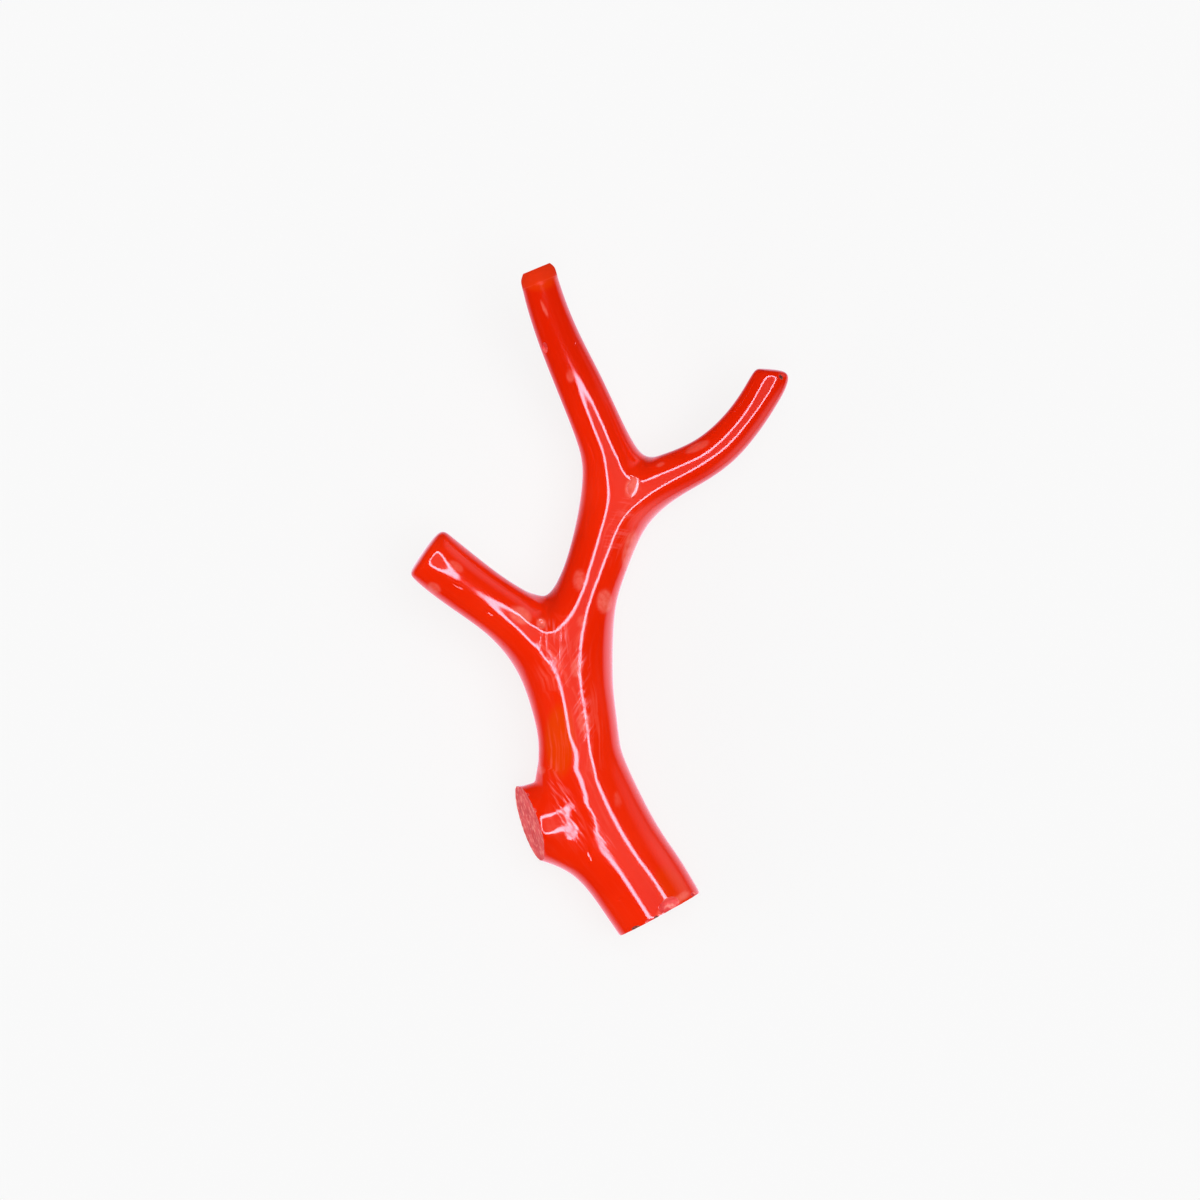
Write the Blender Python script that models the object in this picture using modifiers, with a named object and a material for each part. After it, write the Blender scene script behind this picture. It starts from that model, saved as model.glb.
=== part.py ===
"""Branch of polished red coral, sawn from its base and laid down on its back.

The branch grew as one piece: a stout trunk that forks low down into a short left
branch and a stem, and a second fork where the stem parts into a top branch and a
curved right branch.  It is built as one smooth body and then parted by thin saw cuts
just past the two forks, so that each limb is a solid of its own.

Units are metres in the scene and millimetres in the tables.  +Y runs along the
branch from its sawn foot to its top, +Z is up, and the branch rests on z = 0 on the
undersides of its foot and of its two forks.  Its side branches curve up from there.
"""

import bpy
import bmesh
from math import pi
from mathutils import Matrix, Vector

MM = 0.001                  # metres in a millimetre
SIDES = 8                   # corners of each ring of the coarse cage
ROUNDING = 0.902            # share of its size that an eight-cornered ring smooths to
SMOOTHING_LEVELS = 2        # rounds of subdivision on the cage
KERF = 0.3                  # gap left between neighbouring limbs, mm
SAW_SIZE = 30.0             # side of the blocks that saw off the ends, mm
MERGE = 0.000001            # metres within which corners are one

UP = Vector((0.0, 0.0, 1.0))

# Every limb is a run of rings: x, y, z of the middle, half width, half depth, in mm.
# The trunk starts past its sawn foot and runs through both forks to the top branch.
SPINE = (
    (8.1, -36.0, 4.5, 4.6, 4.3),      # past the sawn foot
    (6.3, -32.9, 4.5, 4.75, 4.4),     # sawn foot
    (4.1, -29.4, 4.5, 4.9, 4.45),
    (1.6, -26.0, 4.7, 4.85, 4.6),     # lower edge of the stump
    (-2.2, -18.0, 5.6, 4.8, 4.7),   # upper edge of the stump
    (-2.15, -15.0, 6.2, 4.15, 4.5),
    (-2.6, -11.8, 6.2, 4.25, 4.6),    # waist of the trunk
    (-3.45, -8.3, 5.3, 4.7, 5.4),     # first fork, below the left branch
    (-2.15, -1.1, 5.0, 3.6, 5.0),     # first fork, above the left branch
    (-0.9, 2.1, 6.0, 3.05, 3.3),      # stem
    (0.2, 5.5, 5.4, 3.25, 3.3),
    (1.2, 8.4, 3.9, 3.55, 4.7),       # second fork, below the right branch
    (1.4, 14.1, 4.9, 3.05, 3.5),      # second fork, above the right branch
    (-0.05, 17.5, 6.6, 2.55, 2.55),   # top branch
    (-2.0, 22.1, 7.8, 2.45, 2.4),
    (-4.3, 26.9, 9.7, 2.15, 2.2),
    (-5.85, 31.2, 11.5, 2.0, 2.05),
    (-6.6, 34.3, 12.9, 1.85, 1.85),   # sawn top
    (-7.4, 37.2, 14.1, 1.8, 1.8),     # past the sawn top
)
STUMP_SEGMENT = 3           # segment of the spine that the sawn stump grows from
LEFT_FORK_SEGMENT = 7       # segment that the left branch grows from
RIGHT_FORK_SEGMENT = 11     # segment that the right branch grows from

LEFT_BRANCH = (
    (-8.2, -2.5, 6.7, 3.25, 3.8),
    (-10.7, -0.7, 8.05, 2.85, 2.9),
    (-13.4, 1.2, 8.95, 2.9, 2.9),
    (-16.0, 3.2, 9.95, 3.0, 3.0),
    (-17.6, 4.55, 10.75, 2.95, 2.85),
    (-18.15, 5.25, 10.8, 2.75, 2.4),    # blunt polished end
)
RIGHT_BRANCH = (
    (6.7, 12.7, 6.1, 2.4, 2.6),
    (9.7, 14.0, 6.8, 2.15, 2.2),
    (12.4, 15.7, 7.5, 2.1, 2.1),
    (14.8, 18.3, 8.2, 1.95, 1.95),
    (16.6, 21.0, 8.8, 1.9, 1.9),
    (17.75, 23.1, 9.2, 1.95, 1.8),
    (18.1, 23.85, 9.4, 1.75, 1.5),     # blunt polished end
)
STUMP = (
    (-6.6, -23.1, 4.2, 3.95, 4.25),
    (-8.6, -23.0, 4.1, 3.65, 4.0),
    (-11.5, -22.9, 4.1, 3.6, 3.8),    # past the sawn face
)

# Directions that the ends of the side branches face.
LEFT_END = (-0.83, 0.52, 0.2)
RIGHT_END = (0.12, 0.99, 0.1)
STUMP_END = (-1.0, 0.0, 0.0)
TOP_END = (-0.26, 0.92, 0.29)

# Saw cuts: a point on the flat face and the direction that it faces, mm.
FOOT_CUT = ((6.2, -32.8, 4.5), (0.477, -0.879, 0.0))
TOP_CUT = ((-6.6, 34.1, 12.9), (-0.23, 0.93, 0.28))
STUMP_CUT = ((-7.4, -23.0, 4.6), (-0.94, -0.27, 0.22))

# Kerfs that part the limbs: a point on the limb's middle, its direction, kerf radius.
KERFS = (
    ((-9.3, -1.75, 7.4), (-0.78, 0.58, 0.26), 4.5),
    ((-1.1, 1.6, 5.8), (0.28, 0.96, 0.0), 4.5),
    ((0.2, 16.4, 6.0), (-0.38, 0.88, 0.27), 3.6),
    ((7.7, 13.2, 6.3), (0.89, 0.40, 0.22), 3.6),
)

# One node for each limb, named by a point near its middle, mm.
LIMBS = {
    "trunk": (0.0, -18.0, 5.0),
    "left_branch": (-14.0, 1.6, 9.2),
    "upper_stem": (1.0, 8.0, 4.8),
    "top_branch": (-3.5, 25.5, 9.2),
    "right_branch": (13.0, 16.5, 7.8),
}

# Colour of the polished coral as linear red, green, blue.
CORAL_RED = (0.79, 0.023, 0.004)
POLISH_ROUGHNESS = 0.12


def remove_scene_objects():
    for scene_object in list(bpy.context.scene.objects):
        bpy.data.objects.remove(scene_object, do_unlink=True)


def new_collection(name):
    collection = bpy.data.collections.new(name)
    bpy.context.scene.collection.children.link(collection)
    return collection


def frame_along(direction, centre):
    """Matrix at centre whose Z runs along direction and whose X lies level."""
    along = Vector(direction).normalized()
    across = along.cross(UP).normalized()
    downward = along.cross(across)
    frame = Matrix((across, downward, along)).transposed().to_4x4()
    return Matrix.Translation(Vector(centre) * MM) @ frame


def add_ring(cage, station, direction):
    """Eight corners around a station, with flats left, right, up and down."""
    x, y, z, half_width, half_depth = station
    size = Matrix.Diagonal((half_width, half_depth, 1.0, 1.0))
    turn = Matrix.Rotation(pi / SIDES, 4, "Z")
    matrix = frame_along(direction, (x, y, z)) @ size @ turn
    ring = bmesh.ops.create_circle(
        cage, segments=SIDES, radius=MM / ROUNDING, matrix=matrix)
    return ring["verts"]


def ring_edges(ring):
    corners = set(ring)
    return {edge for corner in ring for edge in corner.link_edges
            if edge.other_vert(corner) in corners}


def add_limb(cage, stations, end):
    """Skin a run of rings, close the last one, which faces end, and give the rings."""
    centres = [Vector(station[:3]) for station in stations]
    directions = [centres[1] - centres[0]]
    directions += [after - before for before, after in zip(centres, centres[2:])]
    directions.append(Vector(end))
    rings = [add_ring(cage, station, direction)
             for station, direction in zip(stations, directions)]
    for lower, upper in zip(rings, rings[1:]):
        edges = ring_edges(lower) | ring_edges(upper)
        bmesh.ops.bridge_loops(cage, edges=list(edges))
    cage.faces.new(rings[-1])
    return rings


def open_side(cage, lower, upper, side):
    """Open the three faces between two rings that look towards side; give their rim."""
    corners = set(lower) | set(upper)
    band = [face for face in cage.faces if corners.issuperset(face.verts)]
    band.sort(key=lambda face: face.calc_center_median().dot(side))
    patch = band[-3:]
    rim = {edge for face in patch for edge in face.edges
           if not all(neighbour in patch for neighbour in edge.link_faces)}
    bmesh.ops.delete(cage, geom=patch, context="FACES_KEEP_BOUNDARY")
    return rim


def build_cage():
    cage = bmesh.new()
    spine = add_limb(cage, SPINE, TOP_END)
    cage.faces.new(spine[0])
    left, right = Vector((-1.0, 0.0, 0.0)), Vector((1.0, 0.0, 0.0))
    for stations, end, segment, side in (
            (STUMP, STUMP_END, STUMP_SEGMENT, left),
            (LEFT_BRANCH, LEFT_END, LEFT_FORK_SEGMENT, left),
            (RIGHT_BRANCH, RIGHT_END, RIGHT_FORK_SEGMENT, right)):
        limb = add_limb(cage, stations, end)
        rim = open_side(cage, spine[segment], spine[segment + 1], side)
        bmesh.ops.bridge_loops(cage, edges=list(rim | ring_edges(limb[0])))
    bmesh.ops.recalc_face_normals(cage, faces=cage.faces)
    return cage


def object_from_cage(cage, name, collection):
    mesh = bpy.data.meshes.new(name)
    cage.to_mesh(mesh)
    cage.free()
    body = bpy.data.objects.new(name, mesh)
    collection.objects.link(body)
    return body


def add_saw_block(cut, collection, name):
    """A block with one face on the cut, on the side that falls away."""
    point, direction = cut
    block = bmesh.new()
    lift = Matrix.Translation((0.0, 0.0, SAW_SIZE / 2 * MM))
    bmesh.ops.create_cube(
        block, size=SAW_SIZE * MM, matrix=frame_along(direction, point) @ lift)
    return object_from_cage(block, name, collection)


def add_kerf(kerf, collection, name):
    """A thin disc that a fine saw would clear across one limb."""
    point, direction, radius = kerf
    disc = bmesh.new()
    bmesh.ops.create_cone(
        disc, cap_ends=True, segments=32, radius1=radius * MM, radius2=radius * MM,
        depth=KERF * MM, matrix=frame_along(direction, point))
    return object_from_cage(disc, name, collection)


def build_cutters():
    cutters = new_collection("saw_cutters")
    for name, cut in (("foot_saw", FOOT_CUT), ("top_saw", TOP_CUT),
                      ("stump_saw", STUMP_CUT)):
        add_saw_block(cut, cutters, name)
    for index, kerf in enumerate(KERFS):
        add_kerf(kerf, cutters, f"kerf_{index + 1}")
    for cutter in cutters.objects:
        cutter.hide_render = True
        cutter.display_type = "WIRE"
    return cutters


def smooth_and_saw(body, cutters):
    """Round the cage off, then saw its ends and part its limbs."""
    rounding = body.modifiers.new("rounding", "SUBSURF")
    rounding.levels = SMOOTHING_LEVELS
    rounding.render_levels = SMOOTHING_LEVELS
    sawing = body.modifiers.new("sawing", "BOOLEAN")
    sawing.operation = "DIFFERENCE"
    sawing.solver = "EXACT"
    sawing.operand_type = "COLLECTION"
    sawing.collection = cutters
    evaluated = body.evaluated_get(bpy.context.evaluated_depsgraph_get())
    return bpy.data.meshes.new_from_object(evaluated)


def centre_on_floor(mesh):
    """Move the mesh so that its box stands on z = 0, centred over the origin."""
    corners = [corner.co for corner in mesh.vertices]
    lowest = [min(corner[axis] for corner in corners) for axis in range(3)]
    highest = [max(corner[axis] for corner in corners) for axis in range(3)]
    middle = ((lowest[0] + highest[0]) / 2, (lowest[1] + highest[1]) / 2, lowest[2])
    mesh.transform(Matrix.Translation(-Vector(middle)))


def loose_pieces(mesh):
    """Sets of face numbers, one for each piece of the mesh that hangs together."""
    whole = bmesh.new()
    whole.from_mesh(mesh)
    waiting = set(whole.faces)
    pieces = []
    while waiting:
        front = [waiting.pop()]
        piece = set(front)
        while front:
            face = front.pop()
            for edge in face.edges:
                for neighbour in edge.link_faces:
                    if neighbour in waiting:
                        waiting.remove(neighbour)
                        piece.add(neighbour)
                        front.append(neighbour)
        pieces.append({face.index for face in piece})
    whole.free()
    return pieces


def coral_material(name):
    material = bpy.data.materials.new(name + "_polished_coral")
    material.use_nodes = True
    shader = material.node_tree.nodes["Principled BSDF"]
    shader.inputs["Base Color"].default_value = (*CORAL_RED, 1.0)
    shader.inputs["Roughness"].default_value = POLISH_ROUGHNESS
    shader.inputs["Metallic"].default_value = 0.0
    return material


def add_limb_object(name, mesh, faces, collection):
    """One limb as its own object: the mesh with all the other faces taken away."""
    limb = bmesh.new()
    limb.from_mesh(mesh)
    others = [face for face in limb.faces if face.index not in faces]
    bmesh.ops.delete(limb, geom=others, context="FACES")
    bmesh.ops.remove_doubles(limb, verts=limb.verts, dist=MERGE)
    limb_object = object_from_cage(limb, name, collection)
    limb_object.data.materials.clear()
    limb_object.data.materials.append(coral_material(name))
    limb_object.data.shade_smooth()
    limb_object.data.set_sharp_from_angle(angle=pi / 5)


def middle_of(mesh, faces):
    centres = [mesh.polygons[index].center for index in faces]
    return sum(centres, Vector()) / len(centres)


def main():
    remove_scene_objects()
    coral = new_collection("red_coral_branch")
    cutters = build_cutters()
    body = object_from_cage(build_cage(), "coral_body", coral)
    mesh = smooth_and_saw(body, cutters)
    bpy.data.objects.remove(body, do_unlink=True)
    centre_on_floor(mesh)
    pieces = loose_pieces(mesh)
    for name, place in LIMBS.items():
        nearest = min(
            pieces, key=lambda faces: (middle_of(mesh, faces) - Vector(place) * MM).length)
        add_limb_object(name, mesh, nearest, coral)


main()
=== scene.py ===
"""Finish of a branch of polished red coral that lies on a pale studio table.

The whole branch is one smooth skin, because it grew as one piece: the saw kerfs that
part the solids of the frame are not on the real thing.  The skin is lofted from the
same rings as the solids, rounded, sawn at its foot, its top and its stump, and then
given the chips, pits, scratches and ripples that polishing left.

Lengths in the tables are millimetres.  +Y runs from the foot to the top, +Z is up.
"""

from math import cos, pi, radians, sin, tan

import bmesh
import bpy
import numpy as np
from mathutils import Matrix, Vector


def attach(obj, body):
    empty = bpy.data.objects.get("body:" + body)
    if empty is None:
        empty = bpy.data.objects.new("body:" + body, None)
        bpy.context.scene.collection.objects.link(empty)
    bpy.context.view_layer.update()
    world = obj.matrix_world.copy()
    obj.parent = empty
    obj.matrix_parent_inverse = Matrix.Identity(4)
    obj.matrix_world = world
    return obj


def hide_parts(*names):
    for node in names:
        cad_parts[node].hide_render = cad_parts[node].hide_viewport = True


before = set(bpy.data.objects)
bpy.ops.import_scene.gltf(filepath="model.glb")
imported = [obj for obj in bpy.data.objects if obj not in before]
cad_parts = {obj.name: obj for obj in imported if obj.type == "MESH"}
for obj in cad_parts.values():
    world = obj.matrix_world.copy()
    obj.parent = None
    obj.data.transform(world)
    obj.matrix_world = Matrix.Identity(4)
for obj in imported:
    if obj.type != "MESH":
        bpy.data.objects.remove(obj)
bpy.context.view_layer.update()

MM = 0.001                  # metres in a millimetre
SIDES = 8                   # corners of each ring of the coarse cage
ROUNDING = 0.902            # share of its size that an eight-cornered ring smooths to
SMOOTHING_LEVELS = 4        # rounds of subdivision on the cage
SMOOTH_ANGLE = radians(35.0)    # edges sharper than this stay crisp

UP = Vector((0.0, 0.0, 1.0))
LEFT = Vector((-1.0, 0.0, 0.0))
RIGHT = Vector((1.0, 0.0, 0.0))

# Every limb is a run of rings: x, y, z of the middle, half width, half depth, in mm.
# The trunk starts past its sawn foot and runs through both forks to the top branch.
SPINE = (
    (8.1, -36.0, 4.5, 4.6, 4.3),     # past the sawn foot
    (6.3, -32.9, 4.5, 4.75, 4.4),    # sawn foot
    (4.1, -29.4, 4.5, 4.9, 4.45),
    (1.6, -26.0, 4.7, 4.85, 4.6),    # lower edge of the stump
    (-2.2, -18.0, 5.6, 4.8, 4.7),    # upper edge of the stump
    (-2.15, -15.0, 6.2, 4.15, 4.5),
    (-2.6, -11.8, 6.2, 4.25, 4.6),   # waist of the trunk
    (-3.45, -8.3, 5.3, 4.7, 5.4),    # first fork, below the left branch
    (-2.15, -1.1, 5.0, 3.6, 5.0),    # first fork, above the left branch
    (-0.9, 2.1, 6.0, 3.05, 3.3),     # stem
    (0.2, 5.5, 5.4, 3.25, 3.3),
    (1.2, 8.4, 3.9, 3.55, 4.7),      # second fork, below the right branch
    (1.4, 14.1, 4.9, 3.05, 3.5),     # second fork, above the right branch
    (-0.05, 17.5, 6.6, 2.55, 2.55),  # top branch
    (-2.0, 22.1, 7.8, 2.45, 2.34),
    (-4.3, 26.9, 9.7, 2.15, 2.3),
    (-5.85, 31.2, 11.5, 2.0, 2.25),
    (-6.6, 34.3, 12.9, 1.85, 2.0),   # sawn top
    (-7.4, 37.2, 14.1, 1.8, 2.0),    # past the sawn top
)
STUMP_SEGMENT = 3           # segment of the spine that the sawn stump grows from
LEFT_FORK_SEGMENT = 7       # segment that the left branch grows from
RIGHT_FORK_SEGMENT = 11     # segment that the right branch grows from

LEFT_BRANCH = (
    (-8.2, -2.5, 6.7, 3.25, 3.8),
    (-10.7, -0.7, 8.05, 2.85, 2.9),
    (-13.4, 1.2, 8.95, 2.9, 3.0),
    (-16.0, 3.2, 9.95, 3.0, 3.15),
    (-17.6, 4.55, 10.75, 2.95, 2.9),
    (-18.15, 5.25, 10.8, 2.75, 2.4),  # blunt polished end
)
RIGHT_BRANCH = (
    (6.7, 12.7, 6.1, 2.4, 2.6),
    (9.7, 14.0, 6.8, 2.15, 2.2),
    (12.4, 15.7, 7.5, 2.1, 2.1),
    (14.8, 18.3, 8.2, 1.95, 1.95),
    (16.6, 21.0, 8.8, 1.9, 1.9),
    (17.75, 23.1, 9.1, 1.95, 1.65),
    (18.2, 23.9, 9.2, 1.5, 1.3),  # blunt polished end
)
STUMP = (
    (-6.6, -23.1, 4.2, 3.95, 4.25),
    (-8.6, -23.0, 4.1, 3.65, 4.0),
    (-11.5, -22.9, 4.1, 3.6, 3.8),  # past the sawn face
)

# Directions that the ends of the limbs face.
LEFT_END = (-0.84, 0.54, 0.03)
RIGHT_END = (0.02, 0.99, 0.1)
STUMP_END = (-1.0, 0.0, 0.0)
TOP_END = (-0.26, 0.92, 0.29)

# Saw cuts: a point on the flat face and the direction that it faces, mm.
FOOT_CUT = ((6.2, -32.8, 4.5), (0.477, -0.879, 0.0))
TOP_CUT = ((-6.65, 34.15, 12.9), (-0.38, 0.92, 0.05))
STUMP_CUT = ((-7.4, -23.0, 4.6), (-0.94, -0.27, 0.22))
RIM_ROUNDING = (0.99, 0.3)          # share that a raw sawn rim shrinks to, and reach, mm
POLISHED_ROUNDING = (0.78, 0.9)     # the same where the rim was rounded off
SAW_REACH = 8.0             # how far from its point a saw cuts, mm
SHORT_EDGE = 0.06           # corners nearer than this round a cut are made one, mm
SAWN_RINGS = 14             # rings that a sawn face is parted into
FLAT_WITHIN = 0.002         # a face this near to the plane of a cut is part of it, mm
POLISHED_SLOT, SAWN_SLOT, GRIMY_SLOT = range(3)
FILED_DEPTH = 1.60          # how far below its top a file dulled the sawn end, mm
FILED_FADE = 0.90           # the lowest part of that, where the dullness fades out, mm
TYPICAL_RADIUS = 4.0        # radius that growth lines are counted round, mm
BLEND_POWER = 6             # how quickly growth lines pass from one limb to the next
PIT_SPREAD = 1.155          # a ball that stands off by half its height cuts this less wide
PIT_RAGGEDNESS = 0.08       # how far the skin of a broken pit strays, share of its size
RIPPLES = (2.5, 0.02)       # grain and height of the ripples that polishing left, mm
SAW_GRIT = (0.3, 0.09)      # grain and height of the roughness of a sawn face, mm
PATCH_CORE = 0.75           # share of its half width at which a soft patch starts to fade
PATCH_END = 1.25            # share of its half width at which it has gone

# Places where the surface is drawn: where, how far, and over what reach, mm.
PULLS = (
    ((-2.5, -23.4, 9.3), (0.0, 0.0, -0.50), 2.6),   # drop from the trunk to the stump
    ((-7.0, -23.5, 8.3), (0.0, 0.0, 0.38), 3.8),    # flat top of the stump
    ((-3.4, -17.2, 9.8), (0.0, 0.0, -0.22), 3.4),   # flank above the stump
    ((-2.7, -20.0, 9.6), (0.0, 0.0, -0.20), 2.6),   # the same, nearer the stump
    ((-2.4, -21.3, 9.4), (0.0, 0.0, -0.10), 1.8),
    ((-4.9, -20.3, 9.2), (0.0, 0.0, -0.34), 3.2),   # hollow above the stump
    ((-3.2, -26.3, 8.8), (0.0, 0.0, -0.26), 2.6),   # flank below the stump
    ((-0.9, -25.6, 9.2), (0.0, 0.0, -0.05), 1.6),
    ((-6.2, -24.9, 8.4), (0.0, 0.0, 0.22), 2.2),    # lower shoulder of the stump
    ((-3.4, -23.7, 9.0), (0.0, 0.0, 0.10), 1.5),    # end of its flat top
    ((-6.5, -24.2, 8.5), (0.0, 0.0, 0.10), 1.6),
    ((-6.4, -18.9, 5.0), (-0.40, 0.45, 0.0), 3.0),  # web between stump and trunk
    ((-8.4, -19.2, 4.5), (0.0, -0.40, 0.0), 1.8),   # upper side of the stump
    ((-8.2, -25.5, 4.5), (-0.25, 0.10, 0.0), 2.0),  # belly of the stump
    ((-6.0, -0.4, 6.0), (0.0, 0.45, 0.0), 2.4),     # crotch of the first fork
    ((-5.9, -1.2, 9.3), (0.0, 0.0, -0.30), 2.6),    # valley in the first fork
    ((-5.4, -3.6, 10.2), (0.0, 0.0, 0.12), 1.6),    # knuckle below that valley
    ((-6.1, -5.5, 9.8), (0.0, 0.0, 0.08), 1.4),
    ((3.9, 14.2, 8.4), (0.0, 0.0, -0.20), 2.0),     # valley in the second fork
    ((3.0, 8.6, 8.6), (0.0, 0.0, 0.10), 2.0),       # shoulder below the right branch
)

# Hollows between limbs that were rounded with a file: where, how far, and how often.
HOLLOWS = (
    ((-6.3, -18.7, 5.0), 2.8, 120),  # above the stump
    ((-5.7, -0.1, 6.0), 2.4, 70),    # above the left branch
    ((4.8, 15.0, 6.0), 1.6, 20),     # above the right branch
)

# Marks of wear on top of the finished branch: x and y of the middle, half width, half
# length and depth in mm, and the turn of the long side from +Y in degrees.
ROUGH_PITS = (
    (3.41, 11.80, 0.56, 0.90, 0.14, -15.0),   # oval pit in the second fork
    (-5.68, 26.2, 0.40, 0.70, 0.34, -20.0),   # chip on the left of the top branch
    (7.25, -31.60, 0.85, 1.40, 0.40, -61.0),  # scallop broken from the rim of the foot
    (5.05, -33.20, 0.22, 0.40, 0.12, -61.0),
    (9.70, -30.45, 0.20, 0.50, 0.10, -61.0),
    (-7.50, -20.10, 0.14, 0.32, 0.09, 35.0),  # nicks in the rim of the stump
    (-6.75, -21.70, 0.16, 0.30, 0.10, 25.0),
    (-6.20, -23.60, 0.12, 0.36, 0.09, 10.0),
    (-5.98, -25.30, 0.14, 0.24, 0.09, 0.0),
)
GRIMY_PITS = (
    (18.75, 23.20, 0.20, 0.32, 0.28, 40.0),   # pore near the tip of the right branch
    (3.75, -33.95, 0.24, 0.60, 0.22, -61.0),  # chips in the rim of the foot
    (5.85, -32.75, 0.12, 0.26, 0.16, -61.0),
)
POLISHED_DENTS = (
    (3.41, 11.85, 0.72, 1.12, 0.05, -15.0),   # worn lip of the oval pit
    (-6.07, -2.30, 0.45, 0.52, 0.17, 20.0),   # curl in the first fork
    (-5.20, -5.60, 0.26, 0.55, 0.05, 25.0),
    (-4.05, -3.80, 0.09, 1.80, 0.02, -2.0),   # scratch down the first fork
    (-0.97, -26.30, 0.30, 1.00, 0.08, 16.0),  # drop below the stump
    (-14.70, 1.60, 0.13, 0.80, 0.02, 59.0),   # streaks along the left branch
    (-11.40, -1.20, 0.14, 0.55, 0.04, 52.0),
    (2.10, -30.95, 0.07, 1.10, 0.02, -60.0),  # scratch above the foot
    (-2.58, 26.60, 0.10, 0.18, 0.04, -15.0),  # pinholes
    (-5.30, -17.10, 0.10, 0.12, 0.04, 0.0),
    (-6.80, -9.50, 0.10, 0.10, 0.04, 0.0),
    (-10.00, -4.50, 0.10, 0.10, 0.04, 0.0),
)

# Soft marks painted into the colour of the coral, some of them painted light: x and y of the
# middle, half width and half length in mm, the turn of the long side from +Y in degrees, and
# strength.
# The pale spots are partly paler coral and partly painted light: the window-like sheens beside
# the forks, the pink sheen in the oval pit, the bright ring of the curl, the sheen on the
# right edge of the stem and the bright arcs round the scallop in the foot are painted
# reflections and highlights.
PALE_SPOTS_AND_PAINTED_SHEEN = (
    (3.41, 11.85, 0.72, 1.05, -15.0, 1.0),   # round the oval pit in the second fork
    (-8.20, -1.45, 0.80, 1.15, 60.0, 0.9),   # beside the first fork
    (-6.07, -2.30, 0.48, 0.55, 20.0, 1.0),   # curl in the first fork
    (-2.15, 2.20, 0.60, 1.00, 0.0, 0.7),
    (0.50, 0.00, 0.75, 1.15, 0.0, 0.9),
    (3.10, 5.40, 0.60, 1.90, -14.0, 0.9),    # right edge of the stem
    (-2.40, -6.90, 0.60, 0.90, 0.0, 0.6),
    (-1.80, -2.10, 0.50, 0.60, 0.0, 0.5),
    (-1.60, -12.50, 0.70, 0.95, 0.0, 0.6),   # trunk
    (1.85, -20.60, 0.35, 0.70, 10.0, 0.4),
    (-6.10, -17.60, 0.40, 0.40, 0.0, 0.5),
    (8.20, -30.90, 0.40, 1.20, -61.0, 0.8),  # round the scallop in the foot
    (6.60, -32.20, 0.30, 0.80, -61.0, 0.8),
    (10.10, 16.00, 0.40, 1.25, -65.0, 0.5),  # right branch
    (6.30, 14.20, 0.20, 0.45, -65.0, 0.5),
    (-3.05, 23.30, 0.40, 0.55, 0.0, 0.6),    # top branch
    (-5.72, 30.15, 0.16, 0.85, 25.0, 0.7),
    (-7.25, 33.50, 0.18, 0.45, 25.0, 0.6),
    (-17.10, 1.40, 0.45, 0.70, 60.0, 0.6),   # left branch
    (-14.80, 3.60, 0.40, 0.80, 55.0, 0.5),
)
ORANGE_PATCHES = (
    (-4.10, -14.40, 1.50, 3.60, 0.0, 1.0),  # waist of the trunk
    (7.60, -30.00, 1.40, 2.60, 30.0, 0.5),
    (-6.40, 33.20, 1.80, 1.20, 0.0, 0.6),
)
STREAKY_PATCHES = (
    (-2.20, -22.40, 3.20, 5.00, 0.0, 0.3),  # above the stump
    (-3.90, -5.90, 2.60, 4.20, 0.0, 0.9),   # first fork
    (-1.20, -13.80, 1.80, 5.50, 0.0, 0.6),
    (-4.10, -15.00, 1.50, 3.60, 0.0, 0.7),
    (2.40, 7.20, 1.80, 3.60, -20.0, 0.6),   # second fork
)

# Scratches that all run one way, whose pale tint is partly painted glint: their name, their
# turn from +Y in degrees, and the soft patches that they show in.
SCRATCHES = (
    ("fork_scratches", -32.0, (
        (-3.10, -6.90, 1.90, 2.20, 10.0, 1.0),    # below the first fork
        (-1.60, -11.80, 1.00, 3.20, 8.0, 0.9))),  # above the stump
    ("valley_scratches", 2.0, (
        (-4.70, -4.10, 1.70, 2.00, 0.0, 1.0),)),  # in the first fork
    ("stump_scratches", 38.0, (
        (-3.40, -21.80, 1.10, 3.90, 22.0, 1.0),   # between the stump and the trunk
        (0.30, -24.50, 0.80, 2.60, 28.0, 0.6))),
    ("stem_scratches", 80.0, (
        (2.00, 7.80, 1.10, 3.40, -20.0, 0.5),)),  # below the second fork
)


# ---------------------------------------------------------------- modelling by hand

def edit_mesh():
    """The mesh that is open in edit mode, with its corners and faces numbered."""
    mesh = bmesh.from_edit_mesh(bpy.context.object.data)
    mesh.verts.ensure_lookup_table()
    mesh.faces.ensure_lookup_table()
    return mesh


def deselect_objects():
    bpy.ops.object.select_all(action="DESELECT")


def select_corners(corners):
    """In edit mode, select just the corners with these numbers and what they bound."""
    bpy.ops.mesh.select_all(action="DESELECT")
    mesh = edit_mesh()
    for corner in corners:
        mesh.verts[corner].select = True
    mesh.select_flush_mode()
    bmesh.update_edit_mesh(bpy.context.object.data)


def select_faces(wanted):
    """In edit mode, select just the faces that the test wants."""
    bpy.ops.mesh.select_all(action="DESELECT")
    mesh = edit_mesh()
    for face in mesh.faces:
        if wanted(face):
            face.select_set(True)
    bmesh.update_edit_mesh(bpy.context.object.data)


def facing_along(direction):
    """Turn whose Z runs along direction and whose X lies level."""
    along = Vector(direction).normalized()
    across = along.cross(UP).normalized()
    downward = along.cross(across)
    return Matrix((across, downward, along)).transposed()


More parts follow.
